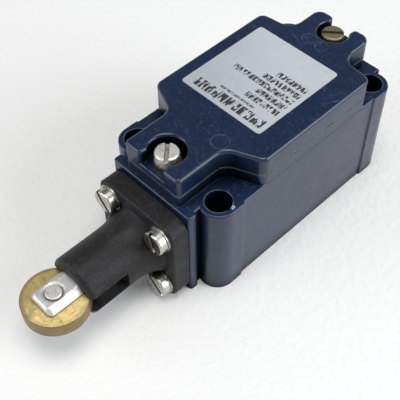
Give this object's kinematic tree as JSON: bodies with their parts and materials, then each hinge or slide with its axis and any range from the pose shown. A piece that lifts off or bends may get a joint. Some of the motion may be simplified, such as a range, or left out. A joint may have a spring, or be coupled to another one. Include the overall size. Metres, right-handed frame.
{
  "type": "roller plunger limit switch",
  "caption": "Metal-cased limit switch with a spring-returned roller plunger, screwed cover, corner mounting holes and a rear cable entry.",
  "frame": {"origin": "middle of the four mounting holes, on the flat back of the housing", "axes": "+Z out of the cover, -Y along the plunger towards the roller, +X to the right seen from the roller's end with the cover up"},
  "size_m": [0.0404, 0.1175, 0.0408],
  "materials": {
    "navy_paint": "glossy navy enamel over a die-cast surface, worn at the edges",
    "gasket_rubber": "matt yellowish cork rubber",
    "label_film": "silver-white printed film",
    "nickel_steel": "bright nickel plate with fine turning marks",
    "zinc_steel": "dull yellow-grey zinc plate",
    "red_fibre": "reddish-brown vulcanised fibre",
    "black_plastic": "satin black moulding, scuffed",
    "roller_brass": "worn brass with brown patina",
    "bright_steel": "ground bright steel",
    "spring_steel": "oiled spring wire",
    "bush_bronze": "plain turned bronze",
    "seal_rubber": "black nitrile rubber",
    "block_moulding": "dark thermoset moulding",
    "carrier_plastic": "natural white nylon",
    "contact_brass": "stamped brass",
    "contact_silver": "silver contact alloy"
  },
  "bodies": {
    "switch_body": {"housing": "navy_paint", "cover": "navy_paint", "cover_gasket": "gasket_rubber", "rating_label": "label_film", "cover_screws": "zinc_steel", "cover_screw_seals": "red_fibre", "head_gasket": "seal_rubber", "head_body": "black_plastic", "head_screws": "nickel_steel", "head_screw_washers": "nickel_steel", "guide_bush": "bush_bronze", "plunger_seal": "seal_rubber", "stop_washer": "spring_steel", "spring_seat": "spring_steel", "return_spring": "spring_steel", "contact_block_base": "block_moulding", "contact_block_top": "block_moulding", "block_rivets": "contact_brass", "block_screws": "zinc_steel", "carrier_spring": "spring_steel", "fixed_contacts": "contact_brass", "fixed_contact_tips": "contact_silver", "terminal_clamps": "zinc_steel", "terminal_screws": "zinc_steel", "earth_clamp": "zinc_steel", "earth_screw": "zinc_steel"},
    "plunger": {"plunger": "bright_steel", "roller_pin": "bright_steel"},
    "roller": {"roller": "roller_brass"},
    "contact_carrier": {"contact_carrier": "carrier_plastic", "contact_bridges": "contact_brass", "bridge_tips": "contact_silver", "bridge_springs": "spring_steel"}
  },
  "joints": [
    {"name": "plunger_slide", "type": "slide", "parent": "switch_body", "child": "plunger", "axis": [0, 1, 0], "range_m": [0, 0.005], "stiffness_N_per_m": 900, "springref_m": -0.008, "deforming": ["return_spring"]},
    {"name": "roller_spin", "type": "hinge", "parent": "plunger", "child": "roller", "pos_m": [0, -0.072, 0.015], "axis": [0, 0, 1], "continuous": true},
    {"name": "carrier_slide", "type": "slide", "parent": "switch_body", "child": "contact_carrier", "axis": [0, 1, 0], "range_m": [0, 0.005], "stiffness_N_per_m": 200, "springref_m": -0.003, "deforming": ["carrier_spring"]}
  ],
  "couplings": [
    {"joint": "carrier_slide", "follows": "plunger_slide", "ratio": 1}
  ]
}
